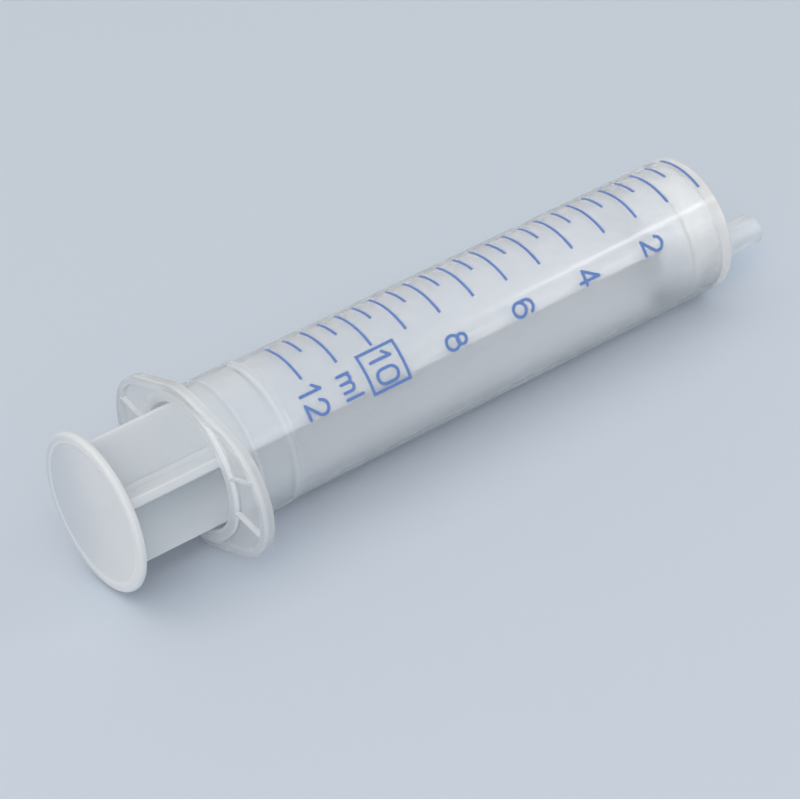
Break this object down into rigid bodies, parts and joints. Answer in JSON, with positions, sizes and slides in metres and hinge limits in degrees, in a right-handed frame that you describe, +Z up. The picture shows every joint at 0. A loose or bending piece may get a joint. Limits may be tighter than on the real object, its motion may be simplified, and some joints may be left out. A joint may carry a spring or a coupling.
{
  "type": "two-part syringe",
  "caption": "Clear slip-tip syringe barrel with an off-centre nozzle, finger wings and a printed scale, and a one-piece plunger that slides in it.",
  "frame": {"origin": "centre of the barrel's shoulder, on the barrel's axis, with the plunger pushed home", "axes": "+X along the barrel, out of the nozzle; +Z up through the middle of the scale, away from the off-centre nozzle; the finger wings lie along Y"},
  "size_m": [0.0997, 0.031, 0.0208],
  "materials": {
    "barrel": "translucent polypropylene, glossy outside",
    "plunger": "satin white polyethylene",
    "ink": "flat blue printing ink"
  },
  "bodies": {
    "barrel": {"barrel": "barrel", "line_0_ml": "ink", "line_1_ml": "ink", "line_2_ml": "ink", "line_3_ml": "ink", "line_4_ml": "ink", "line_5_ml": "ink", "line_6_ml": "ink", "line_7_ml": "ink", "line_8_ml": "ink", "line_9_ml": "ink", "line_10_ml": "ink", "line_11_ml": "ink", "line_12_ml": "ink", "line_0_and_a_half_ml": "ink", "line_1_and_a_half_ml": "ink", "line_2_and_a_half_ml": "ink", "line_3_and_a_half_ml": "ink", "line_4_and_a_half_ml": "ink", "line_5_and_a_half_ml": "ink", "line_6_and_a_half_ml": "ink", "line_7_and_a_half_ml": "ink", "line_8_and_a_half_ml": "ink", "line_9_and_a_half_ml": "ink", "line_10_and_a_half_ml": "ink", "line_11_and_a_half_ml": "ink", "numeral_2": "ink", "numeral_4": "ink", "numeral_6": "ink", "numeral_8": "ink", "numeral_10": "ink", "numeral_12": "ink", "unit_ml": "ink", "nominal_frame": "ink"},
    "plunger": {"plunger": "plunger"}
  },
  "joints": [
    {"name": "plunger_slide", "type": "slide", "parent": "barrel", "child": "plunger", "axis": [-1, 0, 0], "range_m": [0, 0.0604]}
  ]
}
